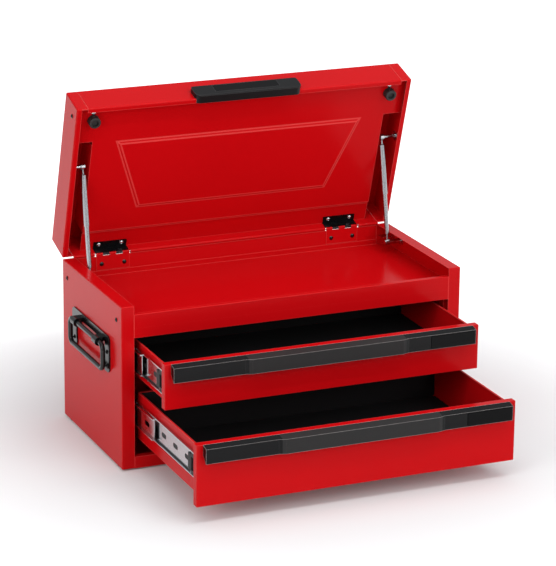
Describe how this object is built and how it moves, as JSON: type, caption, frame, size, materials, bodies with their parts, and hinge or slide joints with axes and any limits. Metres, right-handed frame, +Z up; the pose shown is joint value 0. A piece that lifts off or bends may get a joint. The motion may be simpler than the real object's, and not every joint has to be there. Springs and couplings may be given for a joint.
{
  "type": "portable tool box with drawers",
  "caption": "Portable steel tool box with a hinged double-skinned lid over a top compartment, full-width drawers on ball-bearing slides and folding side handles.",
  "frame": {"origin": "under the middle of the box that bounds the part at rest (lid open, drawers part out), on the floor", "axes": "+X to the right seen from the drawers' side, +Y to the back, +Z up"},
  "size_m": [0.707, 0.683, 0.6356],
  "materials": {
    "red_enamel": "gloss powder coat",
    "zinc_steel": "bright zinc plate",
    "stay_grey": "grey satin paint",
    "black_plastic": "satin moulded plastic",
    "black_gloss": "gloss",
    "black_steel": "black paint",
    "black_rubber": "matt",
    "foam_mat": "matt foam"
  },
  "bodies": {
    "carcass": {"left_side_panel": "red_enamel", "right_side_panel": "red_enamel", "back_panel": "red_enamel", "base_panel": "red_enamel", "top_tray": "red_enamel", "slide_uprights": "red_enamel", "feet": "black_rubber", "side_screws": "black_steel", "lid_catch_plates": "zinc_steel", "hinge_body_leaves": "red_enamel", "hinge_body_screws": "black_steel", "hinge_pins": "zinc_steel", "stay_case_studs": "zinc_steel", "left_handle_bracket": "black_steel", "right_handle_bracket": "black_steel", "handle_screws": "black_steel", "upper_left_case_rail": "zinc_steel", "upper_right_case_rail": "zinc_steel", "lower_left_case_rail": "zinc_steel", "lower_right_case_rail": "zinc_steel"},
    "lid": {"lid_shell": "red_enamel", "lid_inner_panel": "red_enamel", "left_lid_cap": "red_enamel", "right_lid_cap": "red_enamel", "lid_bumpers": "black_rubber", "lid_bumper_screws": "zinc_steel", "lid_cap_screws": "black_steel", "lid_grip": "black_plastic", "lid_grip_plate": "black_gloss", "lid_stay_pads": "zinc_steel", "hinge_lid_leaves": "zinc_steel", "hinge_lid_screws": "zinc_steel"},
    "left_stay_rod": {"left_stay_rod": "zinc_steel"},
    "right_stay_rod": {"right_stay_rod": "zinc_steel"},
    "left_stay_tube": {"left_stay_tube": "stay_grey"},
    "right_stay_tube": {"right_stay_tube": "stay_grey"},
    "left_handle_bail": {"left_handle_bail": "black_steel"},
    "right_handle_bail": {"right_handle_bail": "black_steel"},
    "upper_slide_middles": {"upper_left_middle_rail": "zinc_steel", "upper_right_middle_rail": "zinc_steel"},
    "upper_drawer": {"upper_drawer_tub": "red_enamel", "upper_drawer_front": "red_enamel", "upper_drawer_pull": "black_plastic", "upper_drawer_plate": "black_gloss", "upper_drawer_mat": "foam_mat", "upper_left_drawer_rail": "zinc_steel", "upper_right_drawer_rail": "zinc_steel", "upper_rail_clips": "black_plastic"},
    "lower_slide_middles": {"lower_left_middle_rail": "zinc_steel", "lower_right_middle_rail": "zinc_steel"},
    "lower_drawer": {"lower_drawer_tub": "red_enamel", "lower_drawer_front": "red_enamel", "lower_drawer_pull": "black_plastic", "lower_drawer_plate": "black_gloss", "lower_drawer_mat": "foam_mat", "lower_left_drawer_rail": "zinc_steel", "lower_right_drawer_rail": "zinc_steel", "lower_rail_clips": "black_plastic"}
  },
  "joints": [
    {"name": "lid_hinge", "type": "hinge", "parent": "carcass", "child": "lid", "pos_m": [0, 0.27899, 0.311], "axis": [1, 0, 0], "range_deg": [0, 73]},
    {"name": "upper_drawer_slide", "type": "slide", "parent": "carcass", "child": "upper_drawer", "axis": [0, -1, 0], "range_m": [-0.1355, 0.1565]},
    {"name": "upper_middle_slide", "type": "slide", "parent": "carcass", "child": "upper_slide_middles", "axis": [0, -1, 0], "range_m": [-0.0542, 0.0626]},
    {"name": "lower_drawer_slide", "type": "slide", "parent": "carcass", "child": "lower_drawer", "axis": [0, -1, 0], "range_m": [-0.286, 0.006]},
    {"name": "lower_middle_slide", "type": "slide", "parent": "carcass", "child": "lower_slide_middles", "axis": [0, -1, 0], "range_m": [-0.1144, 0.0024]},
    {"name": "left_stay_swing", "type": "hinge", "parent": "carcass", "child": "left_stay_rod", "pos_m": [-0.304, 0.21349, 0.292], "axis": [1, 0, 0], "range_deg": [-0.5, 80.05]},
    {"name": "left_stay_slide", "type": "slide", "parent": "left_stay_rod", "child": "left_stay_tube", "axis": [0, 0.1778, 0.9841], "range_m": [-0.07937, 0.0003]},
    {"name": "left_handle_swing", "type": "hinge", "parent": "carcass", "child": "left_handle_bail", "pos_m": [-0.3455, 0.12049, 0.22], "axis": [0, 1, 0], "range_deg": [0, 90]},
    {"name": "right_stay_swing", "type": "hinge", "parent": "carcass", "child": "right_stay_rod", "pos_m": [0.304, 0.21349, 0.292], "axis": [1, 0, 0], "range_deg": [-0.5, 80.05]},
    {"name": "right_stay_slide", "type": "slide", "parent": "right_stay_rod", "child": "right_stay_tube", "axis": [0, 0.1778, 0.9841], "range_m": [-0.07937, 0.0003]},
    {"name": "right_handle_swing", "type": "hinge", "parent": "carcass", "child": "right_handle_bail", "pos_m": [0.3455, 0.12049, 0.22], "axis": [0, -1, 0], "range_deg": [0, 90]}
  ],
  "couplings": [
    {"joint": "upper_middle_slide", "follows": "upper_drawer_slide", "ratio": 0.4},
    {"joint": "lower_middle_slide", "follows": "lower_drawer_slide", "ratio": 0.4},
    {"joint": "left_stay_swing", "follows": "lid_hinge", "ratio": 1.0897},
    {"joint": "left_stay_slide", "follows": "lid_hinge", "m_per_rad": -0.062058},
    {"joint": "right_stay_swing", "follows": "lid_hinge", "ratio": 1.0897},
    {"joint": "right_stay_slide", "follows": "lid_hinge", "m_per_rad": -0.062058}
  ]
}
